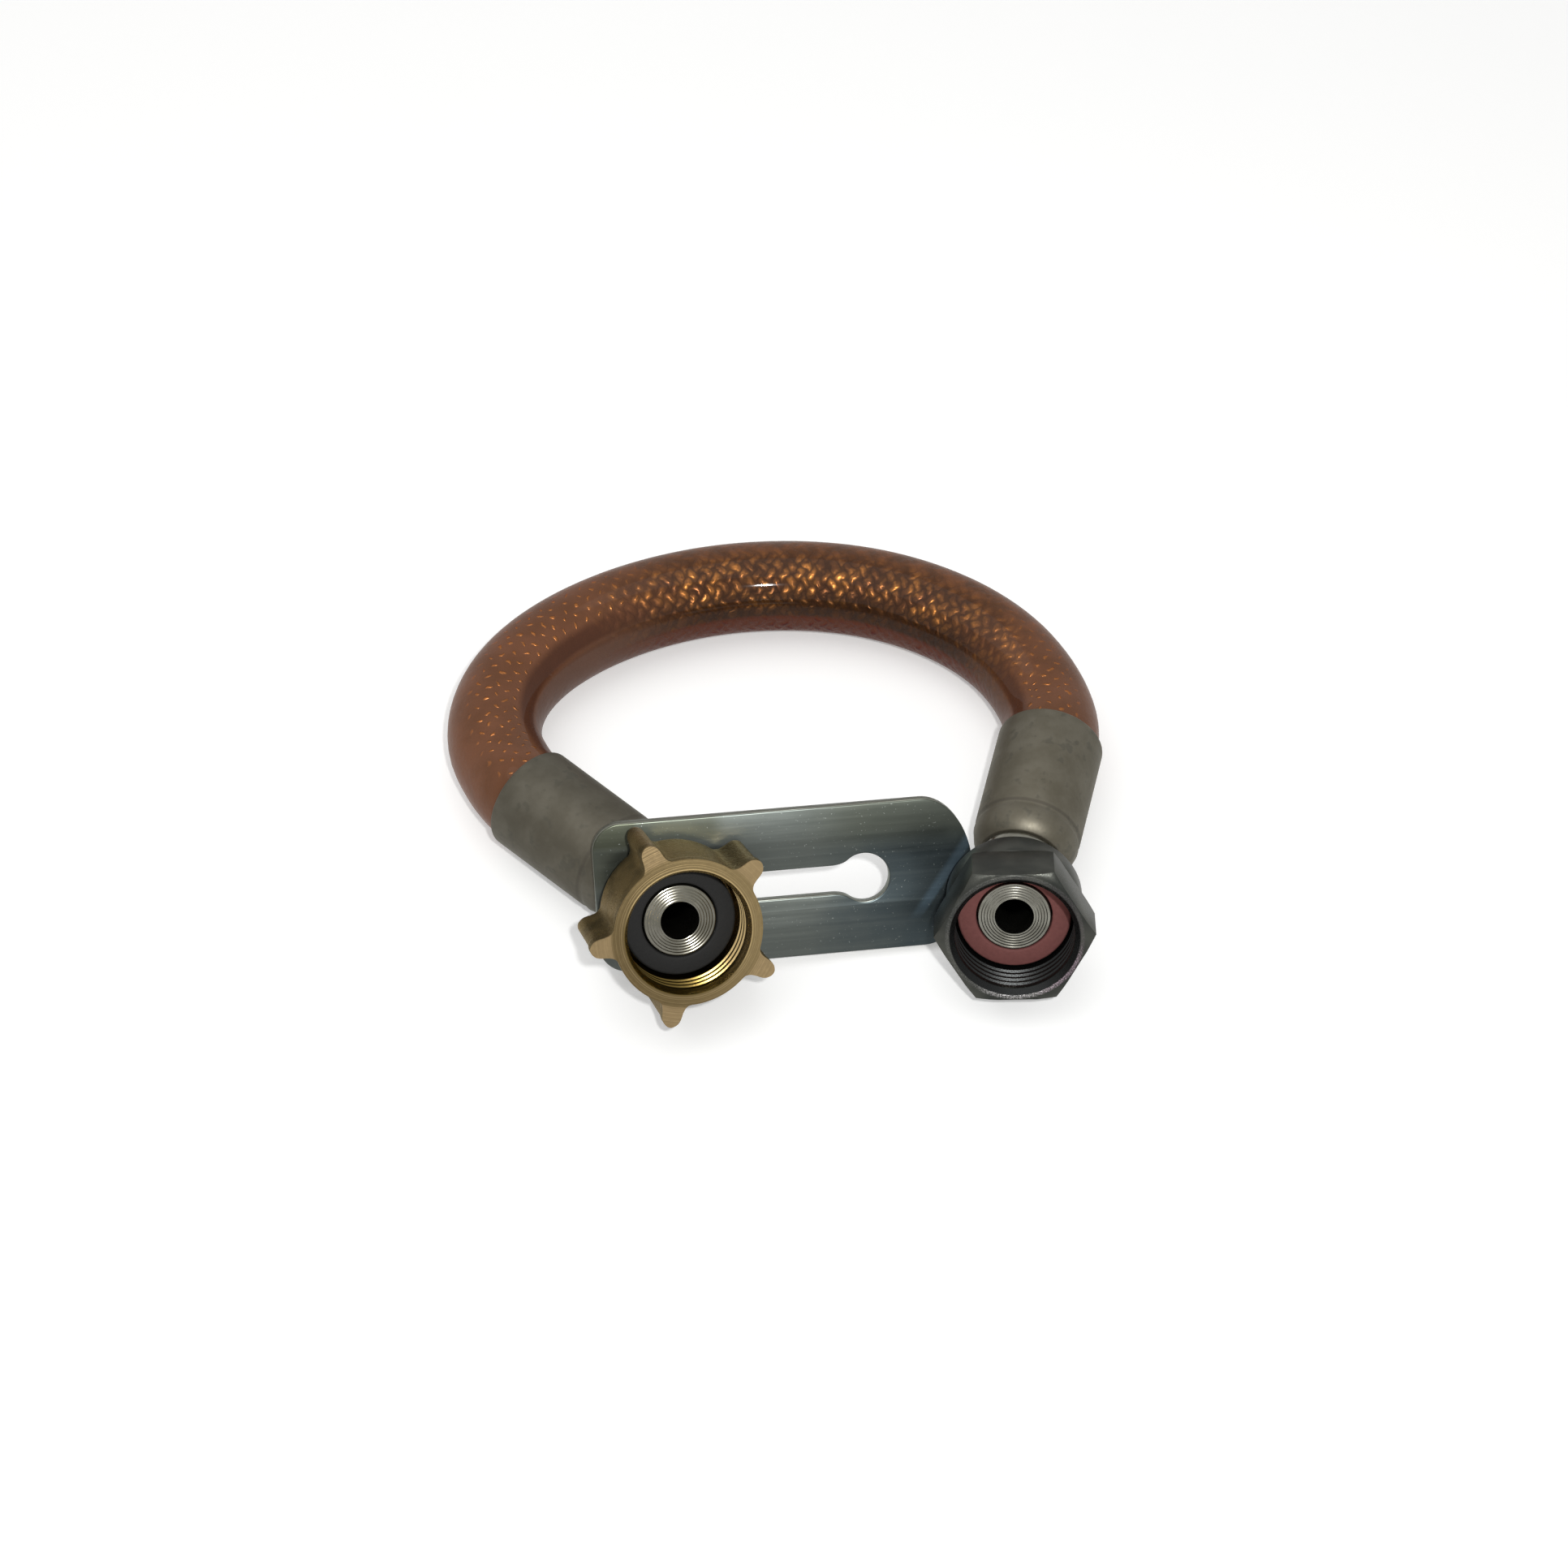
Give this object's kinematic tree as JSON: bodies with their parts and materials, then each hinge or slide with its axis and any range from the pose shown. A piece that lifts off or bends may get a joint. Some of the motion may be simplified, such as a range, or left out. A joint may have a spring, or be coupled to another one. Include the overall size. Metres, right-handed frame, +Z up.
{
  "type": "high-pressure pigtail hose",
  "caption": "Short reinforced gas pigtail hose bent in a C, with crimped steel ferrules, a brass lug nut, a steel hex nut and a loose keyhole plate.",
  "frame": {"origin": "middle of the underside of the box around the rigid pieces, on the plane the part lies on", "axes": "+X from the brass lug nut towards the steel hex nut, +Y from the nuts back towards the hose's bend, +Z up"},
  "size_m": [0.1208, 0.114, 0.0355],
  "materials": {
    "hose_cover": "clear orange-brown",
    "hose_braid": "braided yarn",
    "hose_liner": "matt",
    "left_ferrule": "satin",
    "right_ferrule": "satin",
    "left_nipple": "turned",
    "right_nipple": "turned",
    "brass_lug_nut": "cast, machined mouth",
    "steel_hex_nut": "dark plated",
    "black_seal": "matt",
    "red_seal": "matt",
    "keyhole_plate": "bluish zinc plate"
  },
  "bodies": {
    "hose_assembly": {"hose_cover": "hose_cover", "hose_braid": "hose_braid", "hose_liner": "hose_liner", "left_ferrule": "left_ferrule", "right_ferrule": "right_ferrule", "left_nipple": "left_nipple", "right_nipple": "right_nipple", "black_seal": "black_seal", "red_seal": "red_seal"},
    "lug_nut": {"brass_lug_nut": "brass_lug_nut"},
    "hex_nut": {"steel_hex_nut": "steel_hex_nut"},
    "plate": {"keyhole_plate": "keyhole_plate"}
  },
  "joints": [
    {"name": "lug_nut_spin", "type": "hinge", "parent": "hose_assembly", "child": "lug_nut", "pos_m": [-0.02089, -0.01713, 0.01794], "axis": [-0.2551, 0.8013, -0.5412], "continuous": true},
    {"name": "hex_nut_spin", "type": "hinge", "parent": "hose_assembly", "child": "hex_nut", "pos_m": [0.03688, -0.01356, 0.01432], "axis": [0.068, 0.9095, -0.4102], "continuous": true},
    {"name": "plate_swing", "type": "hinge", "parent": "hose_assembly", "child": "plate", "pos_m": [-0.02378, -0.00747, 0.01317], "axis": [0.1299, -0.8213, 0.5555], "continuous": true}
  ]
}
